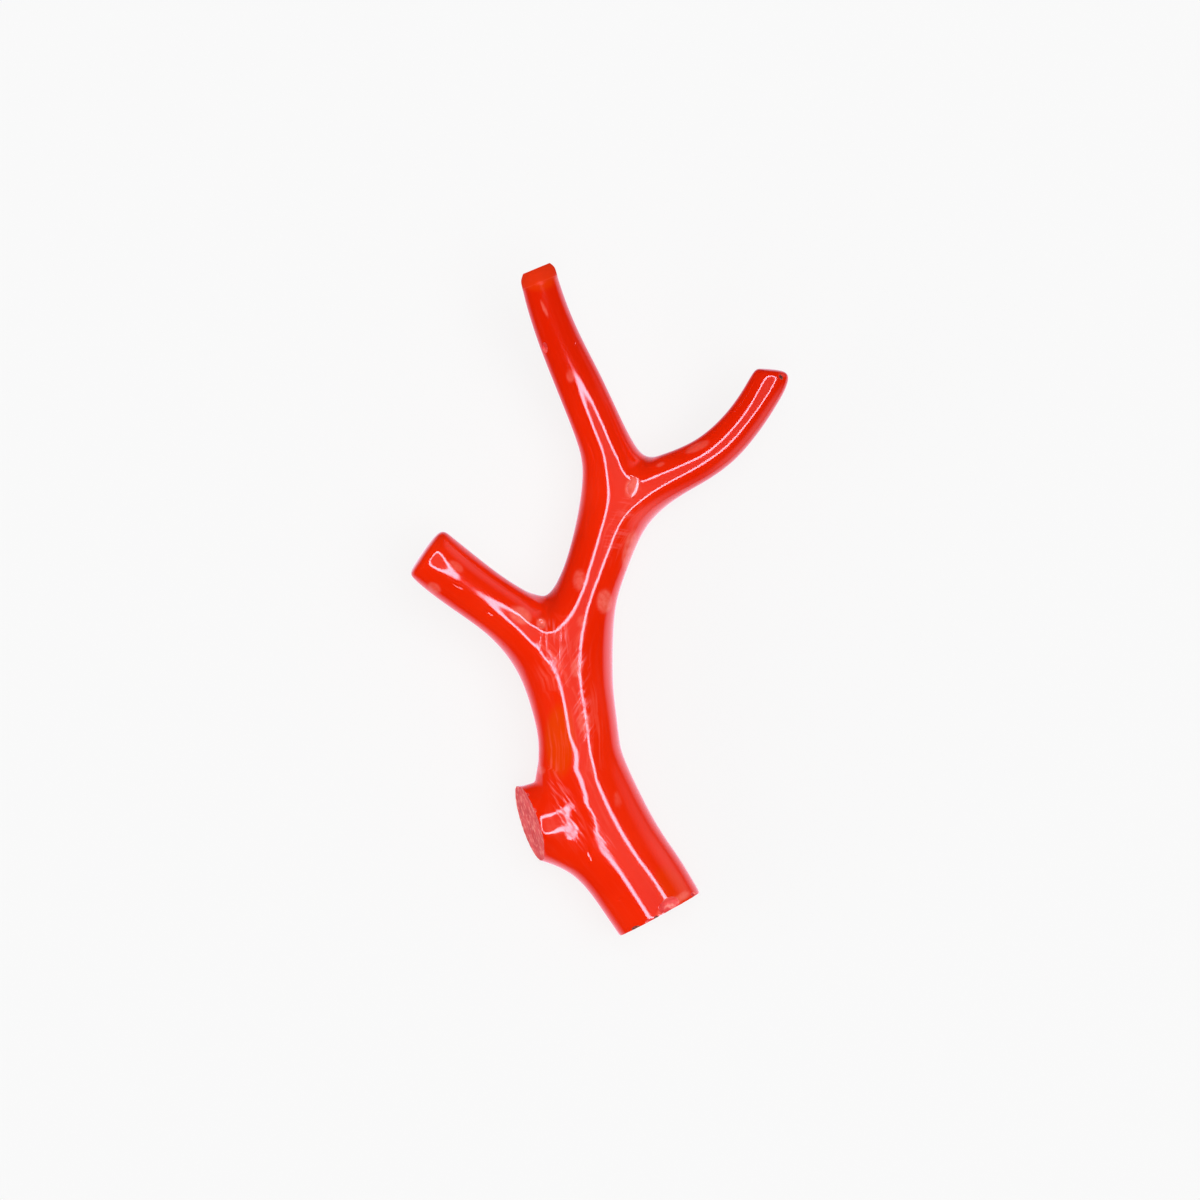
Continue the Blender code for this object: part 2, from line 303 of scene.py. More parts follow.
def add_ring(station, direction):
    """Add eight corners round a station, with flats left, right, up and down."""
    x, y, z, half_width, half_depth = station
    centre = Vector((x, y, z)) * MM
    facing = facing_along(direction)
    turned = facing @ Matrix.Rotation(pi / SIDES, 3, "Z")
    bpy.ops.mesh.primitive_circle_add(
        vertices=SIDES, radius=MM / ROUNDING, location=centre, rotation=turned.to_euler())
    if bpy.context.mode == "OBJECT":
        bpy.ops.object.transform_apply()
        bpy.ops.object.mode_set(mode="EDIT")
    bpy.ops.transform.resize(
        value=(half_width, half_depth, 1.0), center_override=centre,
        orient_type="GLOBAL", orient_matrix=facing, orient_matrix_type="GLOBAL")
    return [corner.index for corner in edit_mesh().verts if corner.select]


def add_limb(stations, end):
    """Bridge a run of rings, of which the last faces end, and give their corners."""
    centres = [Vector(station[:3]) for station in stations]
    directions = [centres[1] - centres[0]]
    directions += [after - before for before, after in zip(centres, centres[2:])]
    directions.append(Vector(end))
    rings = []
    for station, direction in zip(stations, directions):
        if rings:
            bpy.ops.mesh.select_all(action="DESELECT")
        rings.append(add_ring(station, direction))
        if len(rings) > 1:
            select_corners(rings[-2] + rings[-1])
            bpy.ops.mesh.bridge_edge_loops()
    return rings


def join_side_limb(spine, segment, side, limb):
    """Open three faces of a segment that look towards side, and bridge a limb there."""
    band = set(spine[segment] + spine[segment + 1])
    faces = [face for face in edit_mesh().faces
             if band.issuperset(corner.index for corner in face.verts)]
    faces.sort(key=lambda face: face.calc_center_median().dot(side))
    patch = {face.index for face in faces[-3:]}
    rim = {corner.index for face in faces[-3:] for corner in face.verts}
    bpy.ops.mesh.select_mode(type="FACE")
    select_faces(lambda face: face.index in patch)
    bpy.ops.mesh.delete(type="FACE")
    bpy.ops.mesh.select_mode(type="VERT")
    select_corners(list(rim) + limb[0])
    bpy.ops.mesh.bridge_edge_loops()


def loft_branch(name):
    """The coarse cage of the whole branch, as one closed mesh."""
    spine = add_limb(SPINE, TOP_END)
    bpy.context.object.name = name
    ends = [spine[0], spine[-1]]
    for stations, end, segment, side in (
            (STUMP, STUMP_END, STUMP_SEGMENT, LEFT),
            (LEFT_BRANCH, LEFT_END, LEFT_FORK_SEGMENT, LEFT),
            (RIGHT_BRANCH, RIGHT_END, RIGHT_FORK_SEGMENT, RIGHT)):
        limb = add_limb(stations, end)
        join_side_limb(spine, segment, side, limb)
        ends.append(limb[-1])
    for ring in ends:
        select_corners(ring)
        bpy.ops.mesh.edge_face_add()
    bpy.ops.mesh.select_all(action="SELECT")
    bpy.ops.mesh.normals_make_consistent(inside=False)
    bpy.ops.object.mode_set(mode="OBJECT")
    return bpy.context.object


def round_off(piece, levels):
    """Subdivide a coarse cage into a smooth skin."""
    rounding = piece.modifiers.new("rounding", "SUBSURF")
    rounding.levels = levels
    rounding.render_levels = levels
    bpy.ops.object.modifier_apply(modifier=rounding.name)


def saw(cut, rounding):
    """In edit mode, cut away what lies past a saw cut and close it with a flat face."""
    point, direction = cut
    place = Vector(point) * MM
    bpy.ops.mesh.select_mode(type="EDGE")
    select_faces(lambda face: (face.calc_center_median() - place).length < SAW_REACH * MM)
    bpy.ops.mesh.bisect(
        plane_co=place, plane_no=direction, clear_outer=True, threshold=0.001 * MM)
    bpy.ops.mesh.remove_doubles(threshold=SHORT_EDGE * MM)
    bpy.ops.mesh.edge_face_add()
    bpy.ops.mesh.select_mode(type="FACE")
    centre = max(edit_mesh().faces, key=lambda face: len(face.verts)).calc_center_median()
    share, reach = rounding
    bpy.ops.transform.resize(
        value=(share, share, 1.0), center_override=centre, orient_type="GLOBAL",
        orient_matrix=facing_along(direction), orient_matrix_type="GLOBAL",
        use_proportional_edit=True, proportional_edit_falloff="SHARP",
        proportional_size=reach * MM)
    for ring in range(SAWN_RINGS, 1, -1):
        bpy.ops.mesh.extrude_region_move()
        bpy.ops.transform.resize(value=((ring - 1) / ring,) * 3, center_override=centre)
    bpy.ops.mesh.poke()


def lies_on(face, cut):
    """Whether a face is part of the flat that a saw cut leaves."""
    point, direction = cut
    place = Vector(point) * MM
    offset = face.calc_center_median() - place
    height = abs(offset.dot(Vector(direction).normalized()))
    return offset.length < SAW_REACH * MM and height < FLAT_WITHIN * MM


def centre_on_floor(piece):
    """Move the piece so that its box stands on z = 0, centred over the origin."""
    corners = [corner.co for corner in piece.data.vertices]
    lowest = [min(corner[axis] for corner in corners) for axis in range(3)]
    highest = [max(corner[axis] for corner in corners) for axis in range(3)]
    piece.location = (-(lowest[0] + highest[0]) / 2, -(lowest[1] + highest[1]) / 2, -lowest[2])
    bpy.ops.object.transform_apply()


def pull(place, offset, reach):
    """In edit mode, draw the surface at a place by an offset that fades over a reach."""
    spot = Vector(place) * MM
    nearest = min(edit_mesh().verts, key=lambda corner: (corner.co - spot).length)
    select_corners([nearest.index])
    bpy.ops.transform.translate(
        value=Vector(offset) * MM, use_proportional_edit=True,
        proportional_edit_falloff="SMOOTH", proportional_size=reach * MM)


def smooth_hollow(place, reach, rounds):
    """In edit mode, soften the surface round a place, as polishing does in a hollow."""
    spot = Vector(place) * MM
    select_corners([corner.index for corner in edit_mesh().verts
                    if (corner.co - spot).length < reach * MM])
    bpy.ops.mesh.vertices_smooth(factor=0.5, repeat=rounds)


def displace(piece, name, grain, height, group=""):
    """Raise and sink the surface by noise with a grain and a height in mm."""
    noise = bpy.data.textures.new(name, "CLOUDS")
    noise.noise_scale = grain * MM
    relief = piece.modifiers.new(name, "DISPLACE")
    relief.texture = noise
    relief.texture_coords = "LOCAL"
    relief.strength = height * MM
    relief.mid_level = 0.5
    relief.vertex_group = group
    bpy.ops.object.modifier_apply(modifier=name)


def make_pit_cutter(piece, name, pits, raggedness, material):
    """Squashed balls that each reach to their depth into the top of the piece."""
    deselect_objects()
    bpy.ops.object.add(type="MESH")
    cutter = bpy.context.object
    cutter.name = name
    cutter.data.materials.append(material)
    bpy.ops.object.mode_set(mode="EDIT")
    for number, (x, y, half_width, half_length, depth, turn) in enumerate(pits):
        above = Vector((x * MM, y * MM, 1.0))
        surface, normal = piece.ray_cast(above, -UP)[1:3]
        centre = surface + normal * depth * MM
        bpy.ops.mesh.select_all(action="DESELECT")
        bpy.ops.mesh.primitive_ico_sphere_add(subdivisions=3, radius=MM, location=centre)
        bpy.ops.transform.vertex_random(offset=raggedness * MM, seed=number + 1)
        lean = UP.rotation_difference(normal).to_matrix()
        facing = lean @ Matrix.Rotation(radians(turn), 3, "Z")
        bpy.ops.transform.resize(
            value=(half_width * PIT_SPREAD, half_length * PIT_SPREAD, 2 * depth),
            center_override=centre, orient_type="GLOBAL", orient_matrix=facing,
            orient_matrix_type="GLOBAL")
    bpy.ops.object.mode_set(mode="OBJECT")
    return cutter


def cut_pits(piece, cutter):
    """Cut the balls out of the piece, which takes on their material there."""
    deselect_objects()
    piece.select_set(True)
    bpy.context.view_layer.objects.active = piece
    pits = piece.modifiers.new(cutter.name, "BOOLEAN")
    pits.operation = "DIFFERENCE"
    pits.solver = "EXACT"
    pits.material_mode = "TRANSFER"
    pits.object = cutter
    bpy.ops.object.modifier_apply(modifier=pits.name)
    bpy.data.objects.remove(cutter)


def growth_limbs():
    """Each limb from its root outwards, and how far along the coral it starts, in mm."""
    limbs = [(SPINE, 0.0)]
    for stations, segment in (
            (LEFT_BRANCH, LEFT_FORK_SEGMENT), (RIGHT_BRANCH, RIGHT_FORK_SEGMENT)):
        root = SPINE[segment]
        middles = [Vector(station[:3]) for station in SPINE[:segment + 1]]
        start = sum((after - before).length for before, after in zip(middles, middles[1:]))
        limbs.append(((root,) + stations, start))
    return limbs


def growth_lines(points):
    """How far each point lies round and along the limb that it belongs to, in mm."""
    totals = np.zeros((len(points), 3))
    for stations, start in growth_limbs():
        middles = np.array([station[:3] for station in stations])
        sizes = np.array([(station[3] + station[4]) / 2 for station in stations])
        nearest = np.full(len(points), np.inf)
        places = np.zeros((len(points), 2))
        for middle, step, size, growth in zip(
                middles, np.diff(middles, axis=0), sizes, np.diff(sizes)):
            length = np.linalg.norm(step)
            share = np.clip((points - middle) @ step / length ** 2, 0.0, 1.0)
            offset = points - middle - share[:, None] * step
            distance = np.linalg.norm(offset, axis=1) / (size + share * growth)
            side = np.cross(step, UP) / length
            turn = np.arctan2(offset @ side, offset @ np.cross(side, step) / length)
            closer = distance < nearest
            nearest[closer] = distance[closer]
            places[closer, 0] = turn[closer] * TYPICAL_RADIUS
            places[closer, 1] = (start + share * length)[closer]
            start += length
        weight = nearest ** -BLEND_POWER
        totals += weight[:, None] * np.column_stack((places, np.ones(len(points))))
    return totals[:, :2] / totals[:, 2:]


def cover_of(patches, points, upward):
    """How strongly soft oval patches cover each point of the upper side, from 0 to 1."""
    cover = np.zeros(len(points))
    for x, y, half_width, half_length, turn, strength in patches:
        along = np.array((-sin(radians(turn)), cos(radians(turn))))
        offset = points[:, :2] - (x, y)
        reach = np.hypot(offset @ (along[1], -along[0]) / half_width,
                         offset @ along / half_length)
        soft = np.clip((PATCH_END - reach) / (PATCH_END - PATCH_CORE), 0.0, 1.0)
        cover = np.maximum(cover, strength * soft ** 2 * (3 - 2 * soft))
    return cover * (upward > 0)


def filed_share(points):
    """How strongly a file dulled each point near the sawn top, from 0 to 1."""
    place, direction = TOP_CUT
    depth = (np.array(place) - points) @ np.array(Vector(direction).normalized())
    near = np.linalg.norm(points - place, axis=1) < SAW_REACH
    return near * np.clip((FILED_DEPTH - depth) / FILED_FADE, 0.0, 1.0)


def mark_surface(piece):
    """Keep on each corner of the mesh what the material needs to know about its place."""
    mesh = piece.data
    points = np.zeros(len(mesh.vertices) * 3)
    normals = points.copy()
    mesh.vertices.foreach_get("co", points)
    mesh.vertices.foreach_get("normal", normals)
    points = points.reshape(-1, 3) / MM
    upward = normals.reshape(-1, 3)[:, 2]
    growth = np.column_stack((growth_lines(points), points[:, 2]))
    mesh.attributes.new("growth", "FLOAT_VECTOR", "POINT").data.foreach_set(
        "vector", growth.ravel())
    marks = [(name, patches) for name, _, patches in SCRATCHES]
    marks += [("pale_spots_and_painted_sheen", PALE_SPOTS_AND_PAINTED_SHEEN), ("orange_patches", ORANGE_PATCHES),
              ("streaky_patches", STREAKY_PATCHES)]
    for name, patches in marks:
        mesh.attributes.new(name, "FLOAT", "POINT").data.foreach_set(
            "value", cover_of(patches, points, upward))
    mesh.attributes.new("filed_end", "FLOAT", "POINT").data.foreach_set(
        "value", filed_share(points))


def make_branch(materials):
    """The whole branch, from the coarse cage to the chips and pits."""
    deselect_objects()
    branch = loft_branch("coral_branch")
    for material in materials:
        branch.data.materials.append(material)
    bpy.ops.object.vertex_group_add()
    branch.vertex_groups[0].name = "sawn_faces"
    round_off(branch, SMOOTHING_LEVELS)
    bpy.ops.object.mode_set(mode="EDIT")
    for place, offset, reach in PULLS:
        pull(place, offset, reach)
    for place, reach, rounds in HOLLOWS:
        smooth_hollow(place, reach, rounds)
    saw(FOOT_CUT, RIM_ROUNDING)
    saw(TOP_CUT, POLISHED_ROUNDING)
    saw(STUMP_CUT, RIM_ROUNDING)
    bpy.ops.object.mode_set(mode="OBJECT")
    branch.active_material_index = SAWN_SLOT
    bpy.ops.object.mode_set(mode="EDIT")
    select_faces(lambda face: lies_on(face, FOOT_CUT) or lies_on(face, STUMP_CUT))
    bpy.ops.object.material_slot_assign()
    bpy.ops.object.vertex_group_assign()
    bpy.ops.object.mode_set(mode="OBJECT")
    displace(branch, "polishing_ripples", *RIPPLES)
    displace(branch, "saw_grit", *SAW_GRIT, "sawn_faces")
    centre_on_floor(branch)
    for name, pits, raggedness, slot in (
            ("rough_pits", ROUGH_PITS, PIT_RAGGEDNESS, SAWN_SLOT),
            ("grimy_pits", GRIMY_PITS, PIT_RAGGEDNESS, GRIMY_SLOT),
            ("polished_dents", POLISHED_DENTS, 0.0, POLISHED_SLOT)):
        cutter = make_pit_cutter(branch, name, pits, raggedness, materials[slot])
        cut_pits(branch, cutter)
    bpy.ops.object.shade_smooth_by_angle(angle=SMOOTH_ANGLE)
    mark_surface(branch)
    return branch


# ---------------------------------------------------------------------- materials

# A Mix node of colours takes its share and its two colours, and gives its result, at
# sockets with these numbers.
SHARE, FIRST, SECOND, MIXED = 0, 6, 7, 2

# Sizes of the patterns, mm.
STREAK_WIDTH, STREAK_LENGTH = 0.35, 5.0     # along the growth of each limb
SCRATCH_WIDTH, SCRATCH_LENGTH = 0.28, 3.0
CLOUD_SIZE = 7.0
SPECKLE_SIZE = 0.5
FINE_RELIEF = 0.008         # height of the streaks and scratches
DARKER_FROM, DARKER_TO = 52.0, 68.0     # along the coral from its foot, towards the tips
SAWN_GRAIN = 0.6            # drawn coarser than real saw dust, so that it is seen
SAWN_RELIEF = 0.12
CRUST_SIZE = 1.8
GRIME_GRAIN = 0.25

# Gloss of the polished coral and of its dull end.
POLISHED_ROUGHNESS, FILED_ROUGHNESS = 0.085, 0.85
POLISHED_SHINE, FILED_SHINE = 0.5, 0.03
FILED_ALL_DULL = 0.4        # share of filing from which no shine is left


def colour(code):
    """A colour given as sRGB hex, as linear red, green, blue and alpha."""
    parts = [int(code[index:index + 2], 16) / 255 for index in (1, 3, 5)]
    linear = [part / 12.92 if part <= 0.04045 else ((part + 0.055) / 1.055) ** 2.4
              for part in parts]
    return (*linear, 1.0)


def new_material(name):
    """A material whose node tree is still empty."""
    material = bpy.data.materials.new(name)
    material.use_nodes = True
    material.node_tree.nodes.clear()
    return material


def add_node(tree, kind, inputs=None, **settings):
    """Add a node with its settings, and set its inputs or link them to other nodes."""
    node = tree.nodes.new(kind)
    for name, value in settings.items():
        setattr(node, name, value)
    for name, value in (inputs or {}).items():
        socket = node.inputs[name]
        if isinstance(value, bpy.types.NodeSocket):
            tree.links.new(value, socket)
        else:
            socket.default_value = value
    return node


def polished_coral():
    """Red precious coral, sanded and polished to a glassy gloss.

    The colour is the stone-like skeleton itself, with some painted light mixed in.  Growth
    lines about 0.4 mm apart run along each limb; they show as faint streaks, and as fine
    relief where the polish stopped short of them.  Paler spots are partly bruises and partly
    painted reflections and highlights, the pale tint of the scratches is partly painted glint,
    the waist is more orange, and the sawn top was filed dull.
    """
    material = new_material("polished_red_coral")
    tree = material.node_tree
    place = add_node(tree, "ShaderNodeTexCoord").outputs["Object"]
    growth = add_node(
        tree, "ShaderNodeAttribute", attribute_name="growth").outputs["Vector"]
    reach = add_node(
        tree, "ShaderNodeSeparateXYZ", {"Vector": growth}).outputs["Y"]
    streaky, orange, pale, filed = (
        add_node(tree, "ShaderNodeAttribute", attribute_name=name).outputs["Fac"]
        for name in ("streaky_patches", "orange_patches", "pale_spots_and_painted_sheen", "filed_end"))

    # Streaks along the growth of each limb.
    lines = add_node(
        tree, "ShaderNodeVectorMath",
        {0: growth, 1: (1.0 / STREAK_WIDTH, 1.0 / STREAK_LENGTH, 0.0)},
        operation="MULTIPLY")
    streaks = add_node(
        tree, "ShaderNodeTexNoise",
        {"Vector": lines.outputs["Vector"], "Scale": 1.0, "Detail": 3.0}).outputs["Fac"]
    clear_streaks = add_node(
        tree, "ShaderNodeMapRange", {"Value": streaks, "From Min": 0.5, "From Max": 0.72})
    streak_strength = add_node(
        tree, "ShaderNodeMapRange", {"Value": streaky, "To Min": 0.03, "To Max": 0.6})
    streak_share = add_node(
        tree, "ShaderNodeMath",
        {0: clear_streaks.outputs["Result"], 1: streak_strength.outputs["Result"]},
        operation="MULTIPLY")

    # Scratches that the sanding left, drawn one way in each place, and coarser than
    # real ones so that they are seen.  Their pale tint is partly painted glint where they
    # cross the bright lines.
    scratches = 0.0
    for name, turn, patches in SCRATCHES:
        cover = add_node(tree, "ShaderNodeAttribute", attribute_name=name)
        slanted = add_node(
            tree, "ShaderNodeMapping",
            {"Vector": place, "Rotation": (0.0, 0.0, radians(turn)),
             "Scale": (SCRATCH_WIDTH * MM, SCRATCH_LENGTH * MM, SCRATCH_LENGTH * MM)},
            vector_type="TEXTURE")
        grooves = add_node(
            tree, "ShaderNodeTexNoise",
            {"Vector": slanted.outputs["Vector"], "Scale": 1.0, "Detail": 3.0})
        clear_grooves = add_node(
            tree, "ShaderNodeMapRange",
            {"Value": grooves.outputs["Fac"], "From Min": 0.5, "From Max": 0.66})
        scratches = add_node(
            tree, "ShaderNodeMath",
            {0: clear_grooves.outputs["Result"], 1: cover.outputs["Fac"], 2: scratches},
            operation="MULTIPLY_ADD").outputs["Value"]
    scratch_and_glint_share = add_node(
        tree, "ShaderNodeMath", {0: scratches, 1: 0.45}, operation="MULTIPLY")

    # Faint clouds, and a darker red towards the tips.
    clouds = add_node(
        tree, "ShaderNodeTexNoise", {"Vector": place, "Scale": 1.0 / (CLOUD_SIZE * MM)})
    cloudy = add_node(
        tree, "ShaderNodeMapRange",
        {"Value": clouds.outputs["Fac"], "From Min": 0.3, "From Max": 0.7})
    near_tips = add_node(
        tree, "ShaderNodeMapRange",
        {"Value": reach, "From Min": DARKER_FROM, "From Max": DARKER_TO})

    # Pale spots, partly bruises and partly painted reflections and highlights, with edges and
    # insides broken up by speckles.
    speckle = add_node(
        tree, "ShaderNodeTexNoise",
        {"Vector": place, "Scale": 1.0 / (SPECKLE_SIZE * MM), "Detail": 4.0})
    speckled = add_node(
        tree, "ShaderNodeMapRange",
        {"Value": speckle.outputs["Fac"], "From Min": 0.3, "From Max": 0.7,
         "To Min": 0.35, "To Max": 0.75})
    pale_and_painted_sheen = add_node(
        tree, "ShaderNodeMath", {0: pale, 1: speckled.outputs["Result"]},
        operation="MULTIPLY")

    body = colour("#f02400")
    for share, tint in (
            (cloudy.outputs["Result"], "#f62c08"),
            (near_tips.outputs["Result"], "#e42000"),
            (orange, "#ee3c00"),
            (streak_share.outputs["Value"], "#ff6a58"),
            (scratch_and_glint_share.outputs["Value"], "#ff7c78"),
            (pale_and_painted_sheen.outputs["Value"], "#ff8070"),
            (filed, "#e0300a")):
        body = add_node(
            tree, "ShaderNodeMix", {SHARE: share, FIRST: body, SECOND: colour(tint)},
            data_type="RGBA").outputs[MIXED]

    streak_relief = add_node(
        tree, "ShaderNodeMath", {0: streaks, 1: streaky}, operation="MULTIPLY")
    streak_bump = add_node(
        tree, "ShaderNodeBump",
        {"Height": streak_relief.outputs["Value"], "Distance": FINE_RELIEF * MM})
    scratch_bump = add_node(
        tree, "ShaderNodeBump",
        {"Height": scratches, "Distance": FINE_RELIEF * MM,
         "Normal": streak_bump.outputs["Normal"]})
    roughness = add_node(
        tree, "ShaderNodeMapRange",
        {"Value": filed, "To Min": POLISHED_ROUGHNESS, "To Max": FILED_ROUGHNESS})
    shine = add_node(
        tree, "ShaderNodeMapRange",
        {"Value": filed, "From Max": FILED_ALL_DULL, "To Min": POLISHED_SHINE,
         "To Max": FILED_SHINE})
    shader = add_node(
        tree, "ShaderNodeBsdfPrincipled",
        {"Base Color": body, "Roughness": roughness.outputs["Result"], "IOR": 1.55,
         "Specular IOR Level": shine.outputs["Result"],
         "Normal": scratch_bump.outputs["Normal"]})
    add_node(tree, "ShaderNodeOutputMaterial", {"Surface": shader.outputs["BSDF"]})
    return material


def sawn_coral():
    """The same coral where a saw or a break left it rough: dull, rosy and granular."""
    material = new_material("sawn_red_coral")
    tree = material.node_tree
    place = add_node(tree, "ShaderNodeTexCoord").outputs["Object"]
    grains = add_node(
        tree, "ShaderNodeTexNoise",
        {"Vector": place, "Scale": 1.0 / (SAWN_GRAIN * MM), "Detail": 5.0}).outputs["Fac"]
    crust = add_node(
        tree, "ShaderNodeTexNoise", {"Vector": place, "Scale": 1.0 / (CRUST_SIZE * MM)})
    crusty = add_node(
        tree, "ShaderNodeMapRange",
        {"Value": crust.outputs["Fac"], "From Min": 0.35, "From Max": 0.65})
    pale_grains = add_node(
        tree, "ShaderNodeMapRange", {"Value": grains, "From Min": 0.5, "From Max": 0.72})
    body = colour("#dc2c2a")
    for share, tint in (
            (crusty.outputs["Result"], "#f04844"),
            (pale_grains.outputs["Result"], "#ff9488")):
        body = add_node(
            tree, "ShaderNodeMix", {SHARE: share, FIRST: body, SECOND: colour(tint)},
            data_type="RGBA").outputs[MIXED]
    bump = add_node(
        tree, "ShaderNodeBump", {"Height": grains, "Distance": SAWN_RELIEF * MM})
    shader = add_node(
        tree, "ShaderNodeBsdfPrincipled",
        {"Base Color": body, "Roughness": 0.55, "IOR": 1.45,
         "Specular IOR Level": 0.3, "Normal": bump.outputs["Normal"]})
    add_node(tree, "ShaderNodeOutputMaterial", {"Surface": shader.outputs["BSDF"]})
    return material


def grimy_coral():
    """Polishing grime packed into a few deep chips: dark, dull and brownish."""
    material = new_material("grime_in_coral_pits")
    tree = material.node_tree
    place = add_node(tree, "ShaderNodeTexCoord").outputs["Object"]
    grains = add_node(
        tree, "ShaderNodeTexNoise",
        {"Vector": place, "Scale": 1.0 / (GRIME_GRAIN * MM), "Detail": 3.0})
    packed = add_node(
        tree, "ShaderNodeMapRange",
        {"Value": grains.outputs["Fac"], "From Min": 0.4, "From Max": 0.65})
    body = add_node(
        tree, "ShaderNodeMix",
        {SHARE: packed.outputs["Result"], FIRST: colour("#5a1a12"),
         SECOND: colour("#b4573f")}, data_type="RGBA")
    shader = add_node(
        tree, "ShaderNodeBsdfPrincipled",
        {"Base Color": body.outputs[MIXED], "Roughness": 0.8})
    add_node(tree, "ShaderNodeOutputMaterial", {"Surface": shader.outputs["BSDF"]})
    return material


# ------------------------------------------------------------------------- studio

# Everything here is in metres, apart from the camera's own numbers.
STUDIO_RADIUS = 3.0
NO_FADE = (10.0, 11.0)      # a glow that starts to fade this far out stays even

# The ring lamp over the branch: the bright lines are its reflection.
LAMP_CENTRE = (0.04, 0.0)
LAMP_HEIGHT = 0.6
LAMP_TILT = radians(28.0)   # how far its ring stands from straight up, from the branch
LAMP_SPREAD = radians(4.8)  # how far the ring spreads to either side of that
LAMP_CORE = 0.45            # share of that spread that glows in full
LAMP_STRENGTH = 16.5
HAZE_STRENGTH = 0.55        # the dim disc inside the ring

# A round card under the glowing table.
RIM_CARD_CENTRE = (0.24, -0.27)
RIM_CARD_DEPTH = 0.3
RIM_CARD_RADIUS = 0.9
RIM_CARD_STRENGTH = 1.5

# Upright square cards: name, turn from +X in degrees, height, strength.
SIDE_CARDS = (
    ("front_right_card", -45.0, -0.02, 1.3),
    ("back_right_card", 36.0, 0.03, 1.0),
)
SIDE_CARD_DISTANCE = 0.85
SIDE_CARD_SIZE = 1.1

# Soft square lamps: name, place, size, power in watts.
SOFTBOXES = (
    ("overhead_softbox", (0.25, 0.0, 0.9), 0.8, 6.4),
    ("left_fill_softbox", (-0.7, -0.15, 0.25), 0.5, 2.0),
)

# The camera, mm.
CAMERA_LENS = 200.0
SENSOR_WIDTH = 36.0
VIEW_CENTRE = (0.02, 0.13)
VIEW_WIDTH = 125.0          # seen from side to side in the middle of the branch
MIDDLE_HEIGHT = 6.0         # height of the middle of the branch


def table_material():
    """Matt white acrylic, lit from below, so that shadows and tints on it stay faint."""
    material = new_material("backlit_matt_acrylic")
    tree = material.node_tree
    shader = add_node(
        tree, "ShaderNodeBsdfPrincipled",
        {"Base Color": colour("#606060"), "Roughness": 0.9, "Specular IOR Level": 0.0,
         "Emission Color": colour("#ffffff"), "Emission Strength": 0.83})
    add_node(tree, "ShaderNodeOutputMaterial", {"Surface": shader.outputs["BSDF"]})
    return material


def make_table():
    """A plain round table that doesn't show in the polish."""
    deselect_objects()
    bpy.ops.mesh.primitive_circle_add(
        vertices=64, radius=STUDIO_RADIUS, fill_type="NGON")
    table = bpy.context.object
    table.name = "studio_table"
    table.data.materials.append(table_material())
    table.visible_glossy = False


def glow_material(name, tint, strength, fade=NO_FADE, radius=0.0):
    """A glow that fades out between two distances from a circle round its middle."""
    material = new_material(name)
    tree = material.node_tree
    place = add_node(tree, "ShaderNodeTexCoord").outputs["Object"]
    distance = add_node(tree, "ShaderNodeVectorMath", {0: place}, operation="LENGTH")
    offset = add_node(
        tree, "ShaderNodeMath", {0: distance.outputs["Value"], 1: radius},
        operation="SUBTRACT")
    nearness = add_node(
        tree, "ShaderNodeMath", {0: offset.outputs["Value"]}, operation="ABSOLUTE")
    fading = add_node(
        tree, "ShaderNodeMapRange",
        {"Value": nearness.outputs["Value"], "From Min": fade[0], "From Max": fade[1],
         "To Min": strength, "To Max": 0.0}, interpolation_type="SMOOTHSTEP")
    glow = add_node(
        tree, "ShaderNodeEmission",
        {"Color": colour(tint), "Strength": fading.outputs["Result"]})
    add_node(tree, "ShaderNodeOutputMaterial", {"Surface": glow.outputs["Emission"]})
    return material


def show_only_in_reflections(lamp):
    """Make a lamp or card that is seen in the polish alone."""
    lamp.visible_camera = False
    lamp.visible_shadow = False
    lamp.visible_diffuse = False
    lamp.visible_transmission = False


def make_rim_card():
    """A pale card under the glowing table that draws the pale rims of the limbs.

    It lies to the right and to the front, so that rims that face there are broader.
    """
    deselect_objects()
    bpy.ops.mesh.primitive_circle_add(
        vertices=64, radius=RIM_CARD_RADIUS, fill_type="NGON",
        location=(*RIM_CARD_CENTRE, -RIM_CARD_DEPTH))
    card = bpy.context.object
    card.name = "rim_card"
    card.data.materials.append(glow_material(
        "pale_rim_card", "#ffe8ff", RIM_CARD_STRENGTH, (0.15, RIM_CARD_RADIUS)))
    show_only_in_reflections(card)


def make_side_cards():
    """Dim upright cards on the right that soften the rims which face them."""
    for name, turn, height, strength in SIDE_CARDS:
        deselect_objects()
        place = Vector((
            SIDE_CARD_DISTANCE * cos(radians(turn)),
            SIDE_CARD_DISTANCE * sin(radians(turn)), height))
        facing = (-place).to_track_quat("Z", "Y")
        bpy.ops.mesh.primitive_plane_add(
            size=SIDE_CARD_SIZE, location=place, rotation=facing.to_euler())
        card = bpy.context.object
        card.name = name
        card.data.materials.append(glow_material(
            name + "_glow", "#ffd0d8", strength, (0.05, SIDE_CARD_SIZE / 2)))
        show_only_in_reflections(card)


def make_haze_card():
    """A dim disc inside the ring lamp: what the tops of the limbs reflect."""
    deselect_objects()
    bpy.ops.mesh.primitive_circle_add(
        vertices=96, radius=LAMP_HEIGHT * tan(LAMP_TILT - LAMP_SPREAD), fill_type="NGON",
        location=(*LAMP_CENTRE, LAMP_HEIGHT))
    card = bpy.context.object
    card.name = "dim_lamp_centre"
    card.data.materials.append(
        glow_material("dim_white_card", "#ffd4d4", HAZE_STRENGTH))
    show_only_in_reflections(card)


def make_backdrop():
    """A pale dome that only the camera sees, behind the far edge of the table."""
    deselect_objects()
    bpy.ops.mesh.primitive_uv_sphere_add(
        segments=64, ring_count=32, radius=STUDIO_RADIUS)
    dome = bpy.context.object
    dome.name = "studio_dome"
    dome.data.materials.append(glow_material("pale_dome_glow", "#fafafa", 1.0))
    dome.visible_glossy = False
    dome.visible_shadow = False
    dome.visible_diffuse = False
    dome.visible_transmission = False


